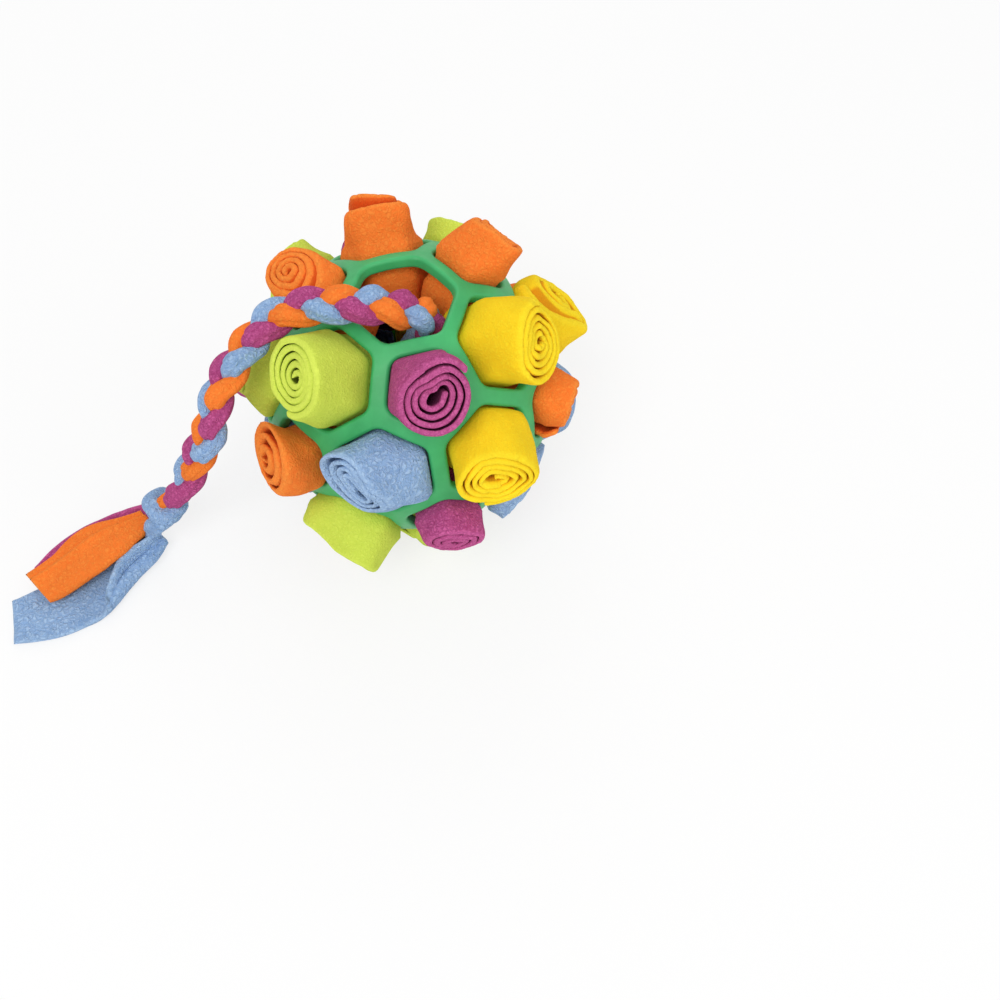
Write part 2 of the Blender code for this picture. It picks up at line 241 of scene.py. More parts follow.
studio = dict(
    worldStrength=0.55,
    lamps=dict(  # place, size across and power
        keyLight=((-0.45, -0.65, 1.25), 0.8, 9.0),
        fillLight=((0.95, -0.55, 0.75), 1.2, 3.0),
        backLight=((0.15, 1.05, 0.85), 1.0, 3.0),
    ),
    floorSize=6.0,
    paper="F6F6F6",
    floorDrop=0.1 * mm,
    floorGlow=0.75,  # share of plain white that the camera sees on the floor
)


def seenByEye(tree):
    # 1 for what the camera sees, also in gloss or through glass, and 0 for other rays
    path = addNode(tree, "LightPath")
    seen = path.outputs["Is Camera Ray"]
    for ray in ("Is Glossy Ray", "Is Transmission Ray"):
        seen = addNode(tree, "Math", {"operation": "MAXIMUM"}, {0: seen, 1: path.outputs[ray]})
    return seen


def addStudio():
    # The camera and reflections see a white room; surfaces get a softer, even light.
    world = bpy.data.worlds.new("studio")
    bpy.context.scene.world = world
    tree = emptyTree(world)
    strength = addNode(tree, "MapRange", {"To Min": studio["worldStrength"], "To Max": 1.0},
                       {"Value": seenByEye(tree)})
    background = addNode(tree, "Background", {"Color": (1, 1, 1, 1)}, {"Strength": strength})
    addNode(tree, "OutputWorld", None, {"Surface": background})
    for name, (place, size, power) in studio["lamps"].items():
        light = bpy.data.lights.new(name, "AREA")
        light.shape = "DISK"
        light.size = size
        light.energy = power
        lamp = addObject(name, light)
        lamp.location = place
        lamp.rotation_euler = (Vector(ballCentre) - lamp.location).to_track_quat("-Z", "Y").to_euler()


def addFloor():
    # White paper, matt. The camera sees it part lit and part plain white, so that the
    # ball's shadow stays soft and the paper doesn't turn grey.
    paper, tree = newMaterial("mattPaper")
    share = addNode(tree, "Math", {"operation": "MULTIPLY", 1: studio["floorGlow"]}, {0: seenByEye(tree)})
    lit = addNode(tree, "BsdfDiffuse", {"Color": hexToLinear(studio["paper"])})
    white = addNode(tree, "Emission", {"Color": (1, 1, 1, 1)})
    both = addNode(tree, "MixShader", None, {0: share, 1: lit, 2: white})
    addNode(tree, "OutputMaterial", None, {"Surface": both})
    half, low = studio["floorSize"] / 2, -studio["floorDrop"]
    corners = np.array([[[x, y, low] for x in (-half, half)] for y in (-half, half)])
    floor = gridMesh("floor", [(corners, False, 0, 0.0)], [paper], None, merge=False)


bpy.context.scene.view_settings.view_transform = "Standard"
addCamera()
addStudio()
addFloor()
print("camera, light and floor")

# Polar fleece: dyed polyester, brushed into a soft curly pile, so it is matt. Its colour
# has painted light in it: the tips of the pile are painted lighter as a painted highlight,
# and the hollows between them darker as painted shade. For each colour: the painted highlight
# on the tips, the painted shade in the hollows and the painted shade inside the grooves
# between layers, then the size and the height of the pile's clumps in mm, and the contrast.
fleece = {
    "fleece_orange": ("FF9640", "F5661F", "CE420E", 1.7, 0.40, 0.60),
    "fleece_yellow": ("FFE32C", "F8C610", "DE8A14", 1.6, 0.22, 0.45),
    "fleece_lime": ("DEEE62", "BAD040", "76861C", 1.6, 0.26, 0.50),
    "fleece_purple": ("D264A0", "902C62", "3E0E2A", 1.6, 0.52, 0.90),
    "fleece_blue": ("B2D0F2", "749ACE", "4E6C98", 2.0, 0.78, 0.85),
}
# What the colours share: sizes in mm, and shares.
pile = dict(
    bendSize=2.0, bendReach=3.6,  # the wider noise that bends the clumps
    hollow=0.34,  # how wide the hollows are, as a share of a clump
    curlLow=0.28, curlHigh=0.72,
    fuzz=0.3, fuzzTint=0.3, fuzzHeight=0.35,
    tint=0.42,  # the colour's middle, from the painted shade of the hollows to the painted highlight of the tips
    paintedEdgeHighlight=0.3, paintedGrooveShade=0.85,  # painted highlight on the cut edges, painted shade in the grooves
    dyePatch=14.0, dyeLow=0.93, dyeHigh=1.06,
)


def addNoise(tree, place, size, detail, roughness=0.5, distortion=0.0):
    settings = {"Scale": 1 / (size * mm), "Detail": detail, "Roughness": roughness,
                "Distortion": distortion}
    return addNode(tree, "TexNoise", settings, {"Vector": place})


def addRange(tree, value, low=0.0, high=1.0, toLow=0.0, toHigh=1.0, kind="LINEAR"):
    # the stretch from low to high spread over another
    settings = {"interpolation_type": kind, "From Min": low, "From Max": high,
                "To Min": toLow, "To Max": toHigh}
    return addNode(tree, "MapRange", settings, {"Value": value})


def addMath(tree, operation, settings, links):
    return addNode(tree, "Math", {"operation": operation, **settings}, links)


def addMix(tree, share, low, high):
    # from the first colour, a hex text or a node's output, to the second
    ends = {6: hexToLinear(low)} if isinstance(low, str) else {}
    links = {0: share} if ends else {0: share, 6: low}
    return addNode(tree, "Mix", {"data_type": "RGBA", 7: hexToLinear(high), **ends}, links).outputs[2]


def fleeceMaterial(name, paintedLitTips, paintedShadedHollows, deep, pebble, height, contrast):
    material, tree = newMaterial(name.replace("fleece_", "brushedFleece_"))
    place = addNode(tree, "TexCoord").outputs["Object"]
    # the curly pile, as small clumps with thin hollows between them that a wider noise
    # bends, a softer unevenness, and a fine fuzz on top
    bend = addNoise(tree, place, pile["bendSize"], 1.5).outputs["Color"]
    bend = addNode(tree, "VectorMath", {"operation": "SUBTRACT", 1: (0.5, 0.5, 0.5)}, {0: bend})
    bend = addNode(tree, "VectorMath", {"operation": "SCALE", "Scale": pile["bendReach"] * mm}, {0: bend})
    bent = addNode(tree, "VectorMath", {"operation": "ADD"}, {0: bend, 1: place})
    settings = {"feature": "DISTANCE_TO_EDGE", "Scale": 1 / (pebble * mm)}
    clump = addNode(tree, "TexVoronoi", settings, {"Vector": bent}).outputs["Distance"]
    clump = addRange(tree, clump, 0.0, pile["hollow"], kind="SMOOTHSTEP")
    curl = addNoise(tree, place, pebble, 2.5, 0.6, 1.0).outputs["Fac"]
    curl = addRange(tree, curl, pile["curlLow"], pile["curlHigh"])
    fuzz = addNoise(tree, place, pile["fuzz"], 3.0, 0.7).outputs["Fac"]
    wide = addNoise(tree, place, pile["dyePatch"], 2.0).outputs["Fac"]
    # the mesh's share of painted light: a painted highlight on cut edges above zero, painted shade in the
    # grooves below zero
    cut = addNode(tree, "Attribute", {"attribute_name": "paintedEdgeLightAndGrooveShade"}).outputs["Fac"]
    level = addNode(tree, "Mix", {0: 0.5}, {2: clump, 3: curl})
    # colour, with painted light: painted shade in the hollows, a painted highlight on the tips and fuzz
    # that stand highest, and a painted highlight along the cut edges
    middle = pile["tint"] - contrast / 2
    spread = addMath(tree, "MULTIPLY_ADD", {1: pile["fuzzTint"], 2: middle}, {0: fuzz})
    raised = addMath(tree, "MULTIPLY_ADD", {1: contrast}, {0: level, 2: spread})
    brighter = addMath(tree, "MULTIPLY_ADD", {1: pile["paintedEdgeHighlight"], "use_clamp": True}, {0: cut, 2: raised})
    colour = addMix(tree, brighter, paintedShadedHollows, paintedLitTips)
    # painted shade: the sides of the grooves between the layers go over to the deep colour
    groove = addMath(tree, "MULTIPLY", {1: -pile["paintedGrooveShade"], "use_clamp": True}, {0: cut})
    colour = addMix(tree, groove, colour, deep)
    # the dye took unevenly, so wide patches are a little darker or lighter
    dye = addRange(tree, wide, 0.25, 0.75, pile["dyeLow"], pile["dyeHigh"])
    dyed = addNode(tree, "HueSaturation", None, {"Value": dye, "Color": colour})
    rise = addMath(tree, "MULTIPLY_ADD", {1: pile["fuzzHeight"]}, {0: fuzz, 2: level})
    bump = addNode(tree, "Bump", {"Strength": 0.9, "Distance": height * mm}, {"Height": rise})
    # the sheen is the light that loose fibre ends catch at a grazing angle
    shader = addNode(tree, "BsdfPrincipled",
                     {"Roughness": 0.95, "Specular IOR Level": 0.15, "Sheen Weight": 0.22,
                      "Sheen Roughness": 0.55, "Sheen Tint": hexToLinear(paintedLitTips)},
                     {"Base Color": dyed, "Normal": bump})
    addNode(tree, "OutputMaterial", None, {"Surface": shader})
    return material


fleeceOf = {name: fleeceMaterial(name, *look) for name, look in fleece.items()}

# Moulded rubber: a solid green with a satin skin, a very fine grain from the mould, and
# a gloss that varies where fleece and teeth have rubbed it. Sizes are in mm.
rubber = dict(
    green="45BA70", deep="36A360", mottle=16.0,
    grain=0.45, grainHeight=0.02, scuff=3.0, roughLow=0.40, roughHigh=0.56,
)


def rubberMaterial(look):
    material, tree = newMaterial("mouldedRubberGreen")
    place = addNode(tree, "TexCoord").outputs["Object"]
    mottle = addNoise(tree, place, look["mottle"], 4.0, 0.6).outputs["Fac"]
    grain = addNoise(tree, place, look["grain"], 2.0).outputs["Fac"]
    scuff = addNoise(tree, place, look["scuff"], 5.0, 0.75, 2.0).outputs["Fac"]
    colour = addMix(tree, addRange(tree, mottle, 0.3, 0.7), look["deep"], look["green"])
    gloss = addRange(tree, scuff, 0.35, 0.7, look["roughLow"], look["roughHigh"])
    bump = addNode(tree, "Bump", {"Strength": 0.35, "Distance": look["grainHeight"] * mm},
                   {"Height": grain})
    shader = addNode(tree, "BsdfPrincipled", {"IOR": 1.5, "Specular IOR Level": 0.4},
                     {"Base Color": colour, "Roughness": gloss, "Normal": bump})
    addNode(tree, "OutputMaterial", None, {"Surface": shader})
    return material


rubberGreen = rubberMaterial(rubber)
print("materials")

# The rope: three strips of fleece plaited flat, from the knot inside to the hitch.
rope = dict(
    route=(  # mm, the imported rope's own route
        (-1.0, 1.8, 76.2), (8.5, -0.9, 97.3), (4.3, -8.3, 114.9), (-14.4, -7.5, 125.7),
        (-44.2, -1.2, 122.1), (-66.9, -10.7, 105.5), (-78.6, -16.0, 81.3), (-89.1, -12.0, 57.3),
        (-96.6, -12.1, 42.3), (-108.4, -8.2, 25.8),
    ),
    hitch=(-113.2, -3.6, 9.0),
    hitchReach=9.0,
    # where each lobe of the front edge lies along the rope, mm
    lobes=(15, 29, 43, 55, 66, 77, 89, 102, 114, 127, 141, 156, 173, 191, 213),
    strands=("fleece_orange", "fleece_purple", "fleece_blue"),  # in the lobes' order
    sway=3.3, weave=2.0,
    halfWidth=3.85, halfDepth=3.6,
    settle=(0.9, 0.3, -1.0),  # how far it is laid aside and sunk where it crosses the ball, mm
    gather=0.75,  # how much of the sway is lost where the hitch gathers the strands
    lastTurn=(0.7, 1.15, 0.8),  # how full each strand is there
    settleFrom=(28, 48), settleTo=(100, 140),  # mm along
    gatherFrom=(44, 24),  # mm before the end
    turnedOut=(25, 48), turnReach=3.0,  # where the flat side stops facing +X, mm along
    roundEnd=3.0, swell=0.09, rows=330,
)
# A strand's creases are angles round it and how far each wanders, in radians; sizes in mm.
strand = dict(
    creases=((1.25, 0.5), (-1.9, 0.7), (2.9, 0.4)), creaseWidth=0.26, creaseDepth=0.15,
    wanderSize=9.0, uneven=0.28, unevenSize=3.2, around=44,
)


def squareTo(curve, away):
    # the way nearest to the one given that is square to the curve, and the one across both
    along = unit(np.gradient(curve, axis=0))
    out = unit(away - (away * along).sum(-1, keepdims=True) * along)
    return out, np.cross(along, out)


def ropeRoute(count):
    points = np.array(rope["route"]) * mm
    hitch = np.array(rope["hitch"]) * mm
    last = hitch + unit(points[-1] - hitch) * rope["hitchReach"] * mm
    return evenly(smoothCurve(np.vstack([points, last]), 40), count)


def strandSurface(centres, out, halfWidth, halfDepth, seed):
    # An oval carried along a strand, with three creases that wander round it where the
    # strip is folded, and a soft unevenness.
    normal, side = squareTo(centres, out)
    angle = np.linspace(0.0, 2 * np.pi, strand["around"], endpoint=False)[None, :]
    walked = walkedAlong(centres)
    radius = np.ones((len(centres), strand["around"]))
    for crease, wander in strand["creases"]:
        spot = np.stack([walked, 0 * walked, 0 * walked + crease * mm], axis=-1)
        middle = crease + wander * softNoise(spot, strand["wanderSize"] * mm, seed)[:, None]
        apart = (angle - middle + np.pi) % (2 * np.pi) - np.pi
        radius -= strand["creaseDepth"] * np.exp(-(apart / strand["creaseWidth"]) ** 2)
    x = radius * np.cos(angle) * halfWidth
    y = radius * np.sin(angle) * halfDepth
    surface = centres[:, None] + side[:, None] * x[..., None] + normal[:, None] * y[..., None]
    outwards = side[:, None] * np.cos(angle)[..., None] + normal[:, None] * np.sin(angle)[..., None]
    share = np.minimum(1.0, halfWidth / np.max(halfWidth)) * strand["uneven"] * mm
    return surface + outwards * (softNoise(surface, strand["unevenSize"] * mm, seed + 3) * share)[..., None]


def addRope():
    # Strand k sways across the flat by sin(p) and weaves through it by -sin(2p), where
    # p grows by a third of a turn from one lobe to the next, and strands are a third apart.
    points, length = ropeRoute(rope["rows"])
    walked = np.linspace(0.0, length, rope["rows"])
    lobes = np.array(rope["lobes"]) * mm
    turn = np.interp(walked, lobes, np.arange(len(lobes)) * 2 * np.pi / 3)
    turn = smoothed(np.pad(turn, 15, mode="reflect", reflect_type="odd"), 31)
    start = 1.0 - smoothStep(*np.array(rope["turnedOut"]) * mm, walked)
    away = unit(points - ballCentre) + start[:, None] * np.array([rope["turnReach"], 0.0, 0.0])
    out, across = squareTo(points, away)
    settled = smoothStep(*np.array(rope["settleFrom"]) * mm, walked)
    settled = settled * (1 - smoothStep(*np.array(rope["settleTo"]) * mm, walked))
    lying = points + settled[:, None] * np.array(rope["settle"]) * mm
    gathered = smoothStep(*(length - np.array(rope["gatherFrom"]) * mm), walked)
    sheets = []
    for k in range(len(rope["strands"])):
        p = turn - k * 2 * np.pi / 3 - np.pi / 2
        sway = np.sin(p) * rope["sway"] * mm * (1 - rope["gather"] * gathered)
        weave = -np.sin(2 * p) * rope["weave"] * mm
        centres = lying + across * sway[:, None] + out * weave[:, None]
        fuller = np.sin(2 * p + np.pi) + 0.6 * softNoise(centres, 12 * mm, 40 + k)
        swell = (1.0 + rope["swell"] * fuller) * (1 + (rope["lastTurn"][k] - 1) * gathered)
        ends = roundedEnd(np.minimum(walked, length - walked) / (rope["roundEnd"] * mm))
        size = (swell * ends)[:, None] * mm
        width, depth = rope["halfWidth"] * size, rope["halfDepth"] * size
        surface = strandSurface(centres, out, width, depth, 50 + 7 * k)
        sheets.append((surface, True, k, 0.0))
    materials = [fleeceOf[name] for name in rope["strands"]]
    return gridMesh("plaitedRope", sheets, materials, "cage", "rope"), points, length


def addTube(name, node, slots, centres, out, halfWidth, halfDepth, seed):
    # one strand, tied into a knot: the same creased oval carried along its centreline,
    # in as many equal stretches as it has colours
    surface = strandSurface(centres, out, halfWidth, halfDepth, seed)
    cuts = np.linspace(0, len(centres) - 1, len(slots) + 1).astype(int)
    sheets = [(surface[a:b + 1], True, i, 0.0) for i, (a, b) in enumerate(zip(cuts, cuts[1:]))]
    return gridMesh(name, sheets, [fleeceOf[slot] for slot in slots], "cage", node)


# The blue strand is wound twice round the rope's end, over itself, and holds the tails.
hitch = dict(
    path=(  # mm
        (-104.5, -8.0, 31.0), (-101.0, -10.6, 29.3), (-108.0, -14.1, 29.0), (-112.2, -7.6, 29.7),
        (-107.3, -3.1, 25.6), (-104.6, -8.9, 21.8), (-111.6, -12.4, 21.0), (-115.5, -10.0, 14.5),
        (-117.0, -9.0, 8.5), (-114.5, -8.5, 5.0),
    ),
    halfWidth=4.1, halfDepth=3.6, taper=0.10, flatten=0.8, rows=220,
)


def addHitch():
    # a tube along the path, out on the side that faces away from the path's middle
    centres, _ = evenly(smoothCurve(np.array(hitch["path"]) * mm, 30), hitch["rows"])
    share = np.linspace(0, 1, hitch["rows"])
    size = np.sqrt(smoothStep(0, hitch["taper"], np.minimum(share, 1 - share)))[:, None] * mm
    size[[0, -1]] = 0.0
    average = centres.mean(axis=0)
    middle = average + (centres - average) * np.array([0.0, hitch["flatten"], 0.0])
    width, depth = size * hitch["halfWidth"], size * hitch["halfDepth"]
    out = unit(centres - middle)
    return addTube("fleeceHitch", "tail_hitch", ["fleece_blue"], centres, out, width, depth, 71)


# The stopper knot inside the ball; sizes in mm, the rest are shares.
knot = dict(reach=11.3, strand=3.9, tall=1.35, flat=0.9, rows=216)


def addKnot(start, along):
    # a trefoil: (sin t + 2 sin 2t, cos t - 2 cos 2t, -sin 3t), shrunk to the knot's size
    t = np.linspace(0.0, 2 * np.pi, knot["rows"] + 1)
    curve = np.stack([np.sin(t) + 2 * np.sin(2 * t), np.cos(t) - 2 * np.cos(2 * t),
                      -knot["tall"] * np.sin(3 * t)], axis=-1) / 3.0
    side = unit(np.cross(along, np.array([0.0, 1.0, 0.0])))
    other = np.cross(along, side)
    place = curve * (knot["reach"] - knot["strand"]) * mm
    centre = start - along * knot["reach"] * mm
    centres = centre + place[:, :1] * side + place[:, 1:2] * other + place[:, 2:] * along
    size = np.full((len(t), 1), knot["strand"] * mm)
    slots = ["fleece_orange", "fleece_purple", "fleece_blue"]
    out = unit(centres - centre)
    return addTube("innerKnot", "inner_knot", slots, centres, out, size, size * knot["flat"], 83)


# Tails: the loose ends of the three strips. Each path is the middle of its strip, in mm.
# Width, ripple and fold are given from the hitch to the cut end; fold is the share of
# the width that is turned back over the rest, lift how steeply that part rises, and curl
# and crease, in mm, how its edge turns up and its middle sinks.
tails = {
    "tail_blue": dict(
        fleece="fleece_blue", seed=5, side=1.0, slant=0.05,
        thick=2.2, lift=0.20, curl=3.0, crease=2.0,
        path=((-115.8, -7.2, 6.5), (-122.6, -11.8, 4.6), (-132.7, -17.1, 3.0), (-142.7, -22.6, 2.0),
              (-151.7, -27.2, 1.7), (-161.0, -30.4, 1.6), (-170.0, -31.4, 1.6), (-178.6, -31.7, 1.6)),
        width=(17, 26, 31, 32, 29, 27.5, 24, 20),
        ripple=(1.4, 1.0, 0.6, 0.4, 0.3, 0.2, 0.2, 0.2),
        fold=(0.45, 0.44, 0.40, 0.26, 0.06, 0, 0, 0),
        tilt=(-0.3, -0.15, -0.05, 0, 0, 0, 0, 0),
    ),
    "tail_orange": dict(
        fleece="fleece_orange", seed=9, side=1.0, slant=-0.25,
        thick=2.1, lift=0.08, curl=1.2, crease=0.0,
        path=((-119.0, -1.4, 10.4), (-125.0, -4.2, 10.8), (-132.0, -6.7, 10.2), (-140.2, -8.9, 9.0),
              (-147.2, -11.8, 7.8), (-154.0, -15.6, 6.8), (-160.5, -18.4, 6.2), (-167.0, -20.2, 6.0)),
        width=(15, 24.4, 35, 41, 40, 35.5, 33.5, 29.5),
        ripple=(0.8, 0.7, 0.4, 0.3, 0.2, 0.2, 0.2, 0.2),
        fold=(0.46, 0.46, 0.455, 0.44, 0.44, 0.455, 0.46, 0.46),
        tilt=(0.06, 0.10, 0.10, 0.09, 0.08, 0.06, 0.04, 0.02),
    ),
    "tail_purple": dict(
        fleece="fleece_purple", seed=13, side=-1.0, slant=0.0,
        thick=2.1, lift=0.10, curl=0.0, crease=0.0,
        path=((-117.5, -0.5, 8.6), (-124.0, -1.6, 7.6), (-132.0, -2.0, 6.4), (-140.0, -3.0, 5.0),
              (-148.0, -5.0, 4.2), (-156.0, -8.0, 3.8), (-162.0, -11.0, 3.6), (-166.8, -13.6, 3.6)),
        width=(10, 14, 15, 15, 15, 14, 12, 7),
        ripple=(0.6, 0.5, 0.4, 0.3, 0.2, 0.2, 0.2, 0.2),
        fold=(0.25, 0.15, 0.08, 0.02, 0, 0, 0, 0),
        tilt=(0.1, 0.1, 0.08, 0.05, 0, 0, 0, 0),
    ),
}
# What the tails share: sizes in mm, and shares.
tailUsual = dict(
    rows=76, columns=46, bendShare=0.62, ripples=2.2, creaseWidth=0.16,
    uneven=0.5, unevenSize=12.0, pile=0.12, pileSize=2.2, floorGap=0.3, paintedHighlightWidth=1.2,
)


def addTail(name, look):
    # A strip's cross-section walks across it at constant speed: flat, then round a
    # half circle and back over itself where it is folded. Ripples lift it, and a tilt
    # turns it about the path. A thin rounded wall is built on both of its faces.
    look = {**tailUsual, **look}
    curve, reach = evenly(smoothCurve(np.array(look["path"]) * mm, 30), look["rows"])
    s = np.linspace(0.0, 1.0, look["rows"])
    knots = np.linspace(0.0, 1.0, len(look["width"]))
    width, ripple, fold, tilt = (
        smoothed(np.pad(np.interp(s, knots, look[key]), 7, mode="edge"), 15)[:, None]
        for key in ("width", "ripple", "fold", "tilt")
    )
    width, ripple, half = width * mm, ripple * mm, look["thick"] * mm / 2
    across = np.linspace(0.0, 1.0, look["columns"])[None, :]
    bend = look["thick"] * mm * look["bendShare"]
    flat = width * (1.0 - fold)
    spot = across * width
    turned = np.clip((spot - flat) / bend, 0.0, np.pi)
    beyond = np.maximum(spot - flat - np.pi * bend, 0.0)
    nearEdge = beyond / np.maximum(beyond[:, -1:], mm)
    curl = look["curl"] * mm * smoothStep(0.6, 1.0, nearEdge)
    crease = look["crease"] * mm * np.exp(-((nearEdge - 0.5) / look["creaseWidth"]) ** 2)
    x = np.minimum(spot, flat) + bend * np.sin(turned) - beyond
    z = bend * (1.0 - np.cos(turned)) + look["lift"] * beyond + curl
    z = z - crease * smoothStep(2 * mm, 5 * mm, beyond)
    x = (x - flat / 2) * look["side"]
    wave = 2 * np.pi * (across * look["ripples"] + 0.35 * s[:, None] + look["seed"] * 0.13)
    z = z + ripple * np.cos(wave) * (0.4 + 0.6 * across)
    ahead = unit(np.gradient(curve, axis=0))
    left = unit(np.cross(np.array([0.0, 0.0, 1.0]), ahead))
    up = np.cross(ahead, left)
    x, z = x * np.cos(tilt) - z * np.sin(tilt), x * np.sin(tilt) + z * np.cos(tilt)
    cut = ahead[:, None] * (look["slant"] * x * s[:, None] ** 6)[..., None]
    middle = curve[:, None] + left[:, None] * x[..., None] + up[:, None] * z[..., None] + cut
    middle = middle + noiseVector(middle, look["unevenSize"] * mm, look["seed"]) * look["uneven"] * mm
    normal = unit(np.cross(np.gradient(middle, axis=0), np.gradient(middle, axis=1)))
    edge = np.minimum(np.minimum(across, 1 - across) * width, np.minimum(s, 1 - s)[:, None] * reach)
    ends = roundedEnd(edge / (half * 0.8))
    fuzz = look["pile"] * mm * softNoise(middle, look["pileSize"] * mm, look["seed"] + 2)
    lift = (half * ends + fuzz * ends)[..., None] * normal
    lowest = look["floorGap"] * mm
    top, under = middle + lift, middle - lift
    top[..., 2] = np.maximum(top[..., 2], lowest + 2 * half * ends * 0.9)
    under[..., 2] = np.maximum(under[..., 2], lowest)
    # a painted highlight along the strip's cut edges
    share = np.clip(1 - edge / (look["paintedHighlightWidth"] * mm), 0, 1)
    sheets = [(top, False, 0, share), (under[:, ::-1], False, 0, share[:, ::-1])]
    label = name.replace("tail_", "") + "TailStrip"
    piece = gridMesh(label, sheets, [fleeceOf[look["fleece"]]], "cage", name)
    return piece, flatSize(middle, np.mean(width))


ropePiece, ropePoints, ropeLength = addRope()
hitchPiece = addHitch()
knotPiece = addKnot(ropePoints[0], unit(ropePoints[1] - ropePoints[0]))
for name, look in tails.items():
    tailPiece, tailFlat = addTail(name, look)
    print(name, "flat size", tailFlat)
print("rope", round(ropeLength, 4))

# The rubber cage, on a football's lattice of twelve five-sided and twenty six-sided holes.
cage = dict(
    radius=57.5, wall=4.5, strut=7.0, cornerRadius=5.0,
    outerRounding=1.5, innerRounding=1.0, stepsPerEdge=14,
    padRing=13.0, padBead=1.0, padRingSlope=1.2, padBorder=1.7, openingWidening=1.06,
)
cageRadius = cage["radius"] * mm
wallThickness = cage["wall"] * mm


def listFaces():
    # An icosahedron's corners are the middles of the five-sided faces, and its own faces
    # are the six-sided ones. Each edge is cut at its thirds for the football's corners.
    polar = np.radians([37.3774] * 3 + [79.1877] * 3)
    turn = np.radians([-90, 30, 150, -150, -30, 90])
    upper = np.stack([np.sin(polar) * np.cos(turn), np.sin(polar) * np.sin(turn), np.cos(polar)], axis=-1)
    corners = np.vstack([upper, -upper])
    close = corners @ corners.T > 0.4
    faces = []
    for i in range(12):
        near = [j for j in range(12) if close[i, j] and j != i]
        faces.append((corners[i], np.array([2 * corners[i] + corners[j] for j in near])))
    for i, j, k in itertools.combinations(range(12), 3):
        if close[i, j] and close[j, k] and close[i, k]:
            pairs = ((i, j), (j, i), (j, k), (k, j), (k, i), (i, k))
            cuts = np.array([2 * corners[a] + corners[b] for a, b in pairs])
            faces.append((unit(corners[i] + corners[j] + corners[k]), cuts))
    return faces


def faceAxes(direction):
    # east round the ball, up, and out of the hole
    level = np.cross(np.array([0.0, 0.0, 1.0]), direction)
    east = unit(level) if np.linalg.norm(level) > 1e-6 else np.array([1.0, 0.0, 0.0])
    return east, np.cross(direction, east), direction


def latticeEdge():
    golden = (1 + math.sqrt(5)) / 2
    return 2 * cageRadius / math.sqrt(9 * golden + 10)


def faceDepth(sides):
    # how far out the lattice's flat face lies
    return math.sqrt(cageRadius ** 2 - (latticeEdge() / 2 / math.sin(math.pi / sides)) ** 2)


def holeSlope(sides):
    # how fast a hole's walls, which point at the cage's centre, leave its axis
    half = latticeEdge() / 2 / math.tan(math.pi / sides) - cage["strut"] * mm / 2
    return half / faceDepth(sides)


def holeDepth(sides):
    return cageRadius / math.sqrt(1 + holeSlope(sides) ** 2)


def faceOutline(direction, corners):
    # Round the face: the strut's middle line as unit vectors, and the hole's outline in
    # slopes, a polygon whose corners are arcs, with the way into the rubber at each point.
    east, up, _ = faceAxes(direction)
    sides = len(corners)
    order = np.argsort(np.arctan2(corners @ up, corners @ east))
    corners = unit(corners[order])
    steps = cage["stepsPerEdge"]
    share = np.linspace(0.0, 1.0, steps, endpoint=False)[None, :]
    following = np.roll(corners, -1, axis=0)
    border = corners[:, None] * (1 - share[..., None]) + following[:, None] * share[..., None]
    middle = corners + following
    facing = np.arctan2(middle @ up, middle @ east)[:, None]
    apothem = holeSlope(sides)
    rounding = cage["cornerRadius"] * mm / holeDepth(sides)
    straight = (apothem - rounding) * math.tan(math.pi / sides)
    walked = (2 * share - 1) * (straight + rounding * math.pi / sides)
    inLine = np.clip(walked, -straight, straight)
    bend = (walked - inLine) / rounding
    normal = np.stack([np.cos(facing + bend), np.sin(facing + bend)], axis=-1)
    flat = np.stack([np.cos(facing), np.sin(facing)], axis=-1)
    side = np.stack([-np.sin(facing), np.cos(facing)], axis=-1)
    outline = (apothem - rounding) * flat + inLine[..., None] * side + rounding * normal
    if direction[2] > 0.99:
        outline = outline * cage["openingWidening"]
    return unit(border.reshape(-1, 3)), outline.reshape(-1, 2), normal.reshape(-1, 2)


def collarSurface(direction, corners):
    # The profile from the strut's middle over its outer face, round the rim, down the
    # hole's wall, round the inner rim and back under the strut, at each step round.
    east, up, out = faceAxes(direction)
    border, outline, normal = faceOutline(direction, corners)
    depth = holeDepth(len(corners))
    inner = cageRadius - wallThickness

    def towards(inset):
        flat = outline + normal * inset / depth
        return unit(out + flat[:, :1] * east + flat[:, 1:] * up)

    rounding, under = cage["outerRounding"] * mm, cage["innerRounding"] * mm
    rows = [unit(border * (1 - t) + towards(rounding) * t) * cageRadius
            for t in np.linspace(0, 1, 7)[:-1]]
    for turn in np.radians(np.linspace(0, 90, 8)):
        height = cageRadius - rounding * (1 - math.cos(turn))
        rows.append(towards(rounding * (1 - math.sin(turn))) * height)
    for t in (0.33, 0.67):
        rows.append(towards(0.0) * (cageRadius - rounding + (inner + under - cageRadius + rounding) * t))
    for turn in np.radians(np.linspace(90, 0, 5)):
        rows.append(towards(under * (1 - math.sin(turn))) * (inner + under * (1 - math.cos(turn))))
    rows += [unit(border * t + towards(under) * (1 - t)) * inner for t in np.linspace(0, 1, 5)[1:]]
    return np.array(rows) + ballCentre


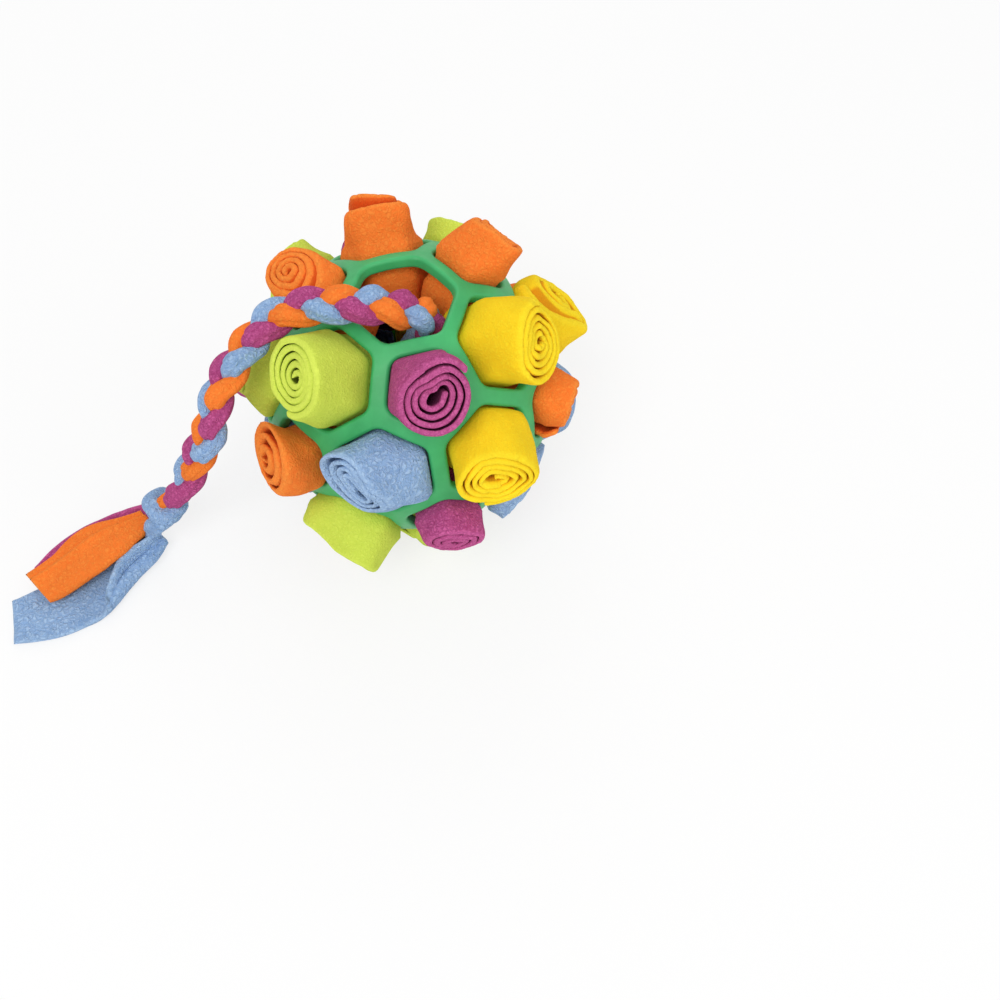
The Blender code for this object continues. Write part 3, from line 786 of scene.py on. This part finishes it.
def padSurfaces(direction, corners):
    # The shut face: from the strut's middle down to a flat six-sided pad, with a raised
    # ring on its outer face, and the same again inside without the ring.
    east, up, out = faceAxes(direction)
    border, outline, _ = faceOutline(direction, corners)
    level = faceDepth(len(corners))
    circle = unit(outline)
    ring, bead, slopeWidth = (cage[key] * mm for key in ("padRing", "padBead", "padRingSlope"))
    radii = [*np.linspace(ring + slopeWidth, ring - slopeWidth, 17), *np.linspace(ring - 3 * mm, 0, 6)]
    surfaces = []
    for drop, hasRing in ((0.0, True), (wallThickness, False)):
        rows = []
        plane = level - drop
        rim = out * plane + (outline[:, :1] * east + outline[:, 1:] * up) * level
        for t in smoothStep(0, 1, np.linspace(0, 1, 9)):
            rows.append(border * (cageRadius - drop) * (1 - t) + rim * t)
        for t in np.linspace(0, 1, 4)[1:]:
            flat = outline * level * (1 - t) + circle * (ring + cage["padBorder"] * mm) * t
            rows.append(out * plane + flat[:, :1] * east + flat[:, 1:] * up)
        for radius in radii:
            rise = math.sqrt(max(0.0, bead ** 2 - (radius - ring) ** 2)) if hasRing else 0.0
            flat = circle * radius
            rows.append(out * (plane + rise) + flat[:, :1] * east + flat[:, 1:] * up)
        surfaces.append(np.array(rows) + ballCentre)
    return surfaces


faces = listFaces()
cageSheets = []
for direction, corners in faces:
    if direction[2] < -0.99:
        cageSheets += [(surface, True, 0, 0.0) for surface in padSurfaces(direction, corners)]
    else:
        cageSheets.append((collarSurface(direction, corners), True, 0, 0.0))
cagePiece = gridMesh("rubberCage", cageSheets, [rubberGreen], "cage", "rubber_cage")
print("cage", len(cagePiece.data.polygons), "faces")

# One row for each roll: its colour, how far it sticks out as a share of stickout, the
# outer end's radius as a share of the neck's, how far that end sits east and up as shares
# of the neck's radius, the free edge's angle in degrees, how many turns it has, and what
# is special about it.
stickout = 14.5  # mm
rolls = {
    "top_roll_1": ("lime", 1.40, 0.91, (0.07, 0.00), 270, 4.8, dict(tilt=(0.22, 0.27), dome=-3.0,
        thick=2.3, rim=0.6, neck=0.94)),
    "top_roll_2": ("purple", 1.34, 1.10, (0.14, -0.20), 20, 4.0, dict(core=0.22, dome=-1.5, heart=0.38,
        heartWidth=0.75, heartAngle=100, wide=1.08, turned=35, ragged=1.4, thick=1.9, tilt=(0.05, 0.20),
        rim=0.5)),
    "top_roll_3": ("yellow", 1.04, 0.94, (-0.20, -0.34), 20, 4.8, dict(tilt=(0.12, 0.50), dome=-0.8,
        rim=0.0, ragged=0.6, neck=0.93, thick=3.0, pressed=0.485, inside=3.0)),
    "top_roll_4": ("orange", 1.04, 0.88, (-0.34, -0.19), 300, 3.0, dict(wide=1.05, square=3.4, turned=25,
        tilt=(0.08, 0.27))),
    "top_roll_5": ("orange", 1.12, 0.84, (-0.02, 0.00), 350, 3.2, dict(square=4.6, drop=8.5,
        dropTurn=0.62, shoulder=0.2, tilt=(0.24, 0.26), rim=0.0, neck=0.89)),
    "top_roll_6": ("orange", 0.74, 0.90, (-0.13, -0.14), 350, 4.0, dict(dome=2.2, tilt=(-0.30, -0.38),
        rim=0.4, thick=3.2, pressed=0.49, drop=0.8)),
    "upper_roll_1": ("orange", 0.76, 1.28, (-0.32, 0.50), 160, 3.4, dict(skew=0.5, tilt=(0.30, -0.15),
        dome=2.0, thick=3.2, pressed=0.49)),
    "upper_roll_2": ("blue", 0.66, 0.76, (-0.48, 0.14), 330, 3.8, dict(wide=1.20, square=2.8, turned=-52,
        skew=0.0, dome=1.2, drop=2.5, dropTurn=0.6, tilt=(0.62, 0.30), thick=2.5, rim=0.2)),
    "upper_roll_3": ("yellow", 0.90, 0.88, (-0.42, -0.09), 240, 4.6, dict(wide=1.12, turned=-37,
        tilt=(0.35, 0.05), dome=-1.2, ragged=0.8, rim=0.3, thick=2.8, pressed=0.48)),
    "upper_roll_4": ("orange", 0.64, 0.88, (-0.10, -0.06), 200, 3.2, dict(tilt=(0.10, 0.35))),
    "upper_roll_5": ("yellow", 0.86, 0.90, (0.10, -0.12), 75, 2.8, dict(wide=1.14, core=0.24, turned=60,
        tilt=(-0.12, -0.46), drop=3.0, thick=3.6, pressed=0.48)),
    "upper_roll_6": ("lime", 0.66, 0.90, (0.26, 0.06), 100, 3.4, dict()),
    "upper_roll_7": ("purple", 0.78, 1.10, (0, 0), 140, 3.2, dict(dome=-1.0)),
    "upper_roll_8": ("lime", 0.90, 0.66, (-0.34, 0.04), 280, 4.0, dict(dome=3.0)),
    "upper_roll_9": ("lime", 0.68, 0.88, (-0.22, 0.00), 330, 3.8, dict(skew=0.4)),
    "lower_roll_1": ("blue", 0.42, 0.74, (0.18, 0.00), 120, 3.8, dict(dome=-1.0)),
    "lower_roll_2": ("lime", 0.86, 0.88, (-0.13, 0.00), 270, 3.0, dict(wide=1.18, square=4.0, ragged=0.1,
        drop=0.0, tilt=(0.36, 0.13))),
    "lower_roll_3": ("purple", 0.76, 0.96, (0.08, 0.00), 220, 3.2, dict(wide=1.06, tilt=(0.15, -0.05))),
    "lower_roll_4": ("blue", 0.44, 0.62, (-0.36, -0.15), 260, 3.6, dict()),
    "lower_roll_5": ("blue", 0.82, 0.76, (0, 0), 310, 3.8, dict(wide=1.05)),
    "lower_roll_6": ("orange", 0.90, 1.10, (0, 0), 10, 3.2, dict(dome=1.5)),
    "lower_roll_7": ("yellow", 0.92, 0.95, (0, 0), 50, 4.2, dict(wide=1.08)),
    "lower_roll_8": ("blue", 0.92, 0.95, (0, 0), 80, 3.6, dict(skew=-0.5)),
    "lower_roll_9": ("purple", 1.27, 1.02, (0, 0), 110, 3.2, dict(core=0.3)),
    "foot_roll_1": ("orange", 1.00, 1.06, (0, 0), 190, 3.2, dict()),
    "foot_roll_2": ("lime", 1.00, 0.68, (0.00, -0.38), 180, 4.0, dict()),
    "foot_roll_3": ("purple", 1.00, 1.06, (0, 0), 190, 3.2, dict()),
    "foot_roll_4": ("yellow", 1.00, 0.98, (0, 0), 180, 4.0, dict()),
    "foot_roll_5": ("orange", 1.00, 1.06, (0, 0), 190, 3.2, dict()),
    "foot_roll_6": ("blue", 1.00, 0.98, (0, 0), 180, 4.0, dict()),
}
# What a roll has unless its row says otherwise, in mm, shares, and degrees for turned.
rollUsual = dict(
    thick=2.6,
    core=0.16, pressed=0.46,  # the open middle, and half a layer's thickness
    tilt=(0.0, 0.0), dome=0.0, ragged=0.3,  # the end: leaning, rising inwards, uneven
    drop=1.5, dropTurn=1.0, skew=0.15,  # the outer turn's end: lower, and slanting
    wide=1.0, square=2.0, turned=0.0,  # the end's outline: oval, squarish, turned
    heart=0.0, heartAngle=0.0, heartWidth=0.55,
    shoulder=1.0, rim=1.0, neck=1.0,  # where the end's size is reached, swell, narrowing
    inside=0.0,  # how far its inner end sits upwards
)
strip = dict(
    innerEnd=30.0, underCage=44.0, inHole=49.5,  # from the ball's centre
    fitGap=0.45, spread=2.1, puff=0.5, roundTop=0.9, slip=0.28,
    overRim=((1.0, 0.5), (2.6, 0.75), (6.0, 0.55)),  # height over the neck, and swell there
    outerSteps=92, innerSteps=42, stations=17,
    # the last: how wide the painted highlight along a cut edge is, mm
    footPress=1.2, footRounding=0.6, footLowest=0.05, paintedHighlightWidth=1.2,
)


def stripProfile():
    # Round the strip's thin section: up its outer face, over the cut edge, down its
    # inner face and round the hidden edge. Share along, share across, share past the end.
    t = np.linspace(0, 1, strip["stations"])
    face = 0.5 * (t + 1 - (1 - t) ** 1.6)
    over = np.radians(np.linspace(0, 180, 9))[1:-1]
    hidden = np.radians(np.linspace(0, 180, 5))[1:-1]
    softSine, softCosine = np.sin(over) ** 0.7, np.sign(np.cos(over)) * np.abs(np.cos(over)) ** 0.7
    along = np.concatenate([face, np.ones(7), face[::-1], np.zeros(3)])
    across = np.concatenate([np.ones(len(t)), softCosine, -np.ones(len(t)), -np.cos(hidden)])
    past = np.concatenate([np.zeros(len(t)), softSine, np.zeros(len(t)), -np.sin(hidden)])
    return along[None, :], across[None, :], past[None, :]


def stripTurns(turns, thick, endRadius):
    # the angles along the strip, closest at its two ends where it is rounded off, how
    # far it is wound in all, and the rounding as a share of the thickness
    lip = 0.5 * thick / endRadius * np.array([0.0, 0.06, 0.2, 0.45, 0.75, 1.0])
    total = turns * 2 * np.pi
    coreLip = lip[::-1] * 2.2
    outer = np.arange(lip[-1], 2 * np.pi, 2 * np.pi / strip["outerSteps"])[1:]
    rest = np.linspace(2 * np.pi, total - coreLip[0], int(strip["innerSteps"] * (turns - 1)))[:-1]
    turned = np.concatenate([lip, outer, rest, total - coreLip])[:, None]
    return turned, total, roundedEnd(turned / lip[-1]) * roundedEnd((total - turned) / coreLip[0])


def rollTop(look, end, endRadius, turned, inwards, angle, seed):
    # the end face's height: tilted, domed inwards, dropping at the free edge, and ragged
    x, y = (way(angle) * endRadius * (1 - inwards) for way in (np.cos, np.sin))
    top = end + look["tilt"][0] * x + look["tilt"][1] * y + look["dome"] * mm * inwards
    top = top - look["drop"] * mm * np.maximum(0, 1 - turned / (2 * np.pi * look["dropTurn"]))
    ring = 1.5 - inwards
    spot = np.concatenate([turned * 0, np.cos(angle) * ring, np.sin(angle) * ring], axis=1)
    spot = spot[:, None] * 14 * mm
    uneven = 0.55 * softNoise(spot, 1.6 * mm, seed) + 1.3 * softNoise(spot, 7 * mm, seed + 1)
    return top + mm * look["ragged"] * uneven


def rollRadius(look, z, top, neck, end, outside, slope, neckRadius, endRadius):
    # the roll's own radius up its axis: spread inside the cage, held by the hole, swelling
    # over its rim, then going over to the end's radius, with a puff between
    inner, under, within = (strip[key] * mm for key in ("innerEnd", "underCage", "inHole"))
    spread, fitGap = strip["spread"] * mm, strip["fitGap"] * mm
    above, swell = np.array(strip["overRim"]).T * mm
    heights = [inner, under, within, neck, *(neck + above), end]
    radii = [slope * inner + spread, slope * under + spread, slope * within - fitGap, neckRadius,
             *(neckRadius + swell * look["rim"]), neckRadius]
    radius = np.interp(z, heights, radii)
    radius = radius + (endRadius - radius) * smoothStep(0.0, look["shoulder"], outside)
    puff = np.sin(np.pi * np.clip((z - neck) / (end - neck), 0, 1)) ** 0.7
    rounded = np.clip(1 - (top - z) / (3.5 * mm), 0, 1) ** 2
    return radius + strip["puff"] * mm * puff - strip["roundTop"] * mm * rounded


def layerReach(look, turns, radius, half, angle, turned, outside, edgeAngles):
    # how far from the axis each turn lies: the outline |cos/a|^p + |sin/b|^p = r^-p, less
    # the layers outside it, squeezed at the neck to the hole's own six or five sides
    wide = 1 + (look["wide"] - 1) * outside
    core = 0.02 + (look["core"] - 0.02) * smoothStep(0.0, 0.5, outside)
    layer = np.minimum(radius * wide, radius / wide) * (1 - core) / turns
    half = np.minimum(half, look["pressed"] * layer)
    # each turn keeps its distance most of the way round, then slips under the next
    inwards = turned / (turns * 2 * np.pi)
    whole = np.floor(turned / (2 * np.pi))
    part = turned / (2 * np.pi) - whole
    keep = 0.9 * np.sqrt(1 - inwards)
    depth = layer * (whole + part + (smoothStep(1 - strip["slip"], 1, part) - part) * keep) + half
    angle = angle + look["skew"] * outside * np.clip(1 - turned / 3, 0, 1) ** 2
    around = angle - math.radians(look["turned"])
    power = 2 + (look["square"] - 2) * np.clip(outside, 0, 1)
    low = 0.25 * mm
    reach = ((np.abs(np.cos(around)) / np.maximum(radius * wide - depth, low)) ** power
             + (np.abs(np.sin(around)) / np.maximum(radius / wide - depth, low)) ** power) ** (-1 / power)
    sidesNear = sum(np.maximum(np.cos(angle - edge), 0) ** 16 for edge in edgeAngles) ** (-1 / 16)
    squeeze = (0.95 * (1 - smoothStep(0.03, 0.55, outside)) + 0.05) * (1 - inwards)
    reach = reach * sidesNear ** squeeze
    # a dent on one side, deeper inwards, bends the spiral to a heart
    apart = (angle - math.radians(look["heartAngle"]) + np.pi) % (2 * np.pi) - np.pi
    dent = np.sqrt(inwards) * np.clip(outside, 0, 1) * np.exp(-(apart / look["heartWidth"]) ** 2)
    return reach * (1 - look["heart"] * dent), angle, half


def addRoll(name, row, axis):
    # a strip wound into a spiral, its section carried in from the free edge to the core
    colour, stick, endShare, lean, seam, turns, special = row
    look = {**rollUsual, **special}
    direction, corners = min(faces, key=lambda face: np.linalg.norm(face[0] - axis))
    east, up, out = faceAxes(direction)
    sides = len(corners)
    edgeAngles = np.sort(np.arctan2(corners @ up, corners @ east)) + math.pi / sides
    slope, rim = holeSlope(sides), holeDepth(sides)
    inner, neck = strip["innerEnd"] * mm, rim + 0.3 * mm
    neckRadius = (slope * rim - strip["fitGap"] * mm) * look["neck"]
    endRadius = neckRadius * endShare
    end = cageRadius + stickout * mm * stick
    if name.startswith("foot"):
        # as long as brings its end's lowest edge to the floor
        down = -out[2]
        flat = endRadius * math.cos(math.pi / (10 if sides == 6 else 9)) - lean[1] * neckRadius
        end = (ballCentre[2] + strip["footPress"] * mm - flat * math.sqrt(1 - down ** 2)) / down
    slot = "fleece_" + colour
    thick = look["thick"] * mm
    seed = sum(ord(letter) for letter in name) % 97

    turned, total, ends = stripTurns(turns, thick, endRadius)
    inwards = turned / total
    along, across, past = stripProfile()
    angle = math.radians(seam) + turned
    top = rollTop(look, end, endRadius, turned, inwards, angle, seed)
    half = thick / 2
    z = inner + half + (top - inner - 2 * half) * along + past * half
    outside = np.clip((z - neck) / (end - neck), 0, 1.3)
    radius = rollRadius(look, z, top, neck, end, outside, slope, neckRadius, endRadius)
    reach, angle, half = layerReach(look, turns, radius, half, angle, turned, outside, edgeAngles)

    # the spiral's middle surface, leaning outside the hole, and the section built on it
    bent = neckRadius * np.clip((z - neck) / np.maximum(top - neck, 4 * mm), 0, 1.1) ** 1.5
    aside = look["inside"] * mm * (1 - smoothStep(42 * mm, 50 * mm, z))
    x = np.cos(angle) * reach + lean[0] * bent
    y = np.sin(angle) * reach + lean[1] * bent + aside
    wayX, wayY = np.gradient(x, axis=0), np.gradient(y, axis=0)
    offset = across * half * ends / (np.hypot(wayX, wayY) + 1e-12)

    def placed(x, y):
        return ballCentre + x[..., None] * east + y[..., None] * up + z[..., None] * out

    points, sheet = placed(x + wayY * offset, y - wayX * offset), placed(x, y)
    loose = (0.15 + 0.85 * smoothStep(0.05, 0.45, outside))[..., None]
    uneven = noiseVector(points, 11 * mm, seed) * 0.6 + noiseVector(points, 4 * mm, seed + 5) * 0.16
    points = points + loose * uneven * mm
    if name.startswith("foot"):
        # pressed flat at the floor: half of h + sqrt(h^2 + r^2), for the height h over it
        lowest, rounding = strip["footLowest"] * mm, strip["footRounding"] * mm
        over = points[..., 2] - lowest
        points[..., 2] = lowest + 0.5 * (over + np.sqrt(over ** 2 + rounding ** 2)) - 0.25 * rounding
    # painted highlight where the cloth is cut, and painted shade in the grooves between the layers, deeper
    # further below the end's top
    freeEdge = np.clip(1 - turned * endRadius / (strip["paintedHighlightWidth"] * mm), 0, 1)
    cut = np.clip(np.maximum(past, 0) * 1.2 + freeEdge, 0, 1)
    covered = (across < 0.5) | (turned > 2 * np.pi)
    cut = cut - covered * smoothStep(0.3 * mm, 2.2 * mm, top - z)
    sheets = [(points, True, 0, cut)]
    piece = gridMesh(name.replace("roll", "fleeceRoll"), sheets, [fleeceOf[slot]], name, name)
    size = flatSize(sheet[:, :strip["stations"]], np.mean(top) - inner)
    return size


joints = {joint["child"]: joint for joint in frame["joints"]}
for name, row in rolls.items():
    flat = addRoll(name, row, np.array(joints[name]["axis"]))
    print(name, "flat size", flat)
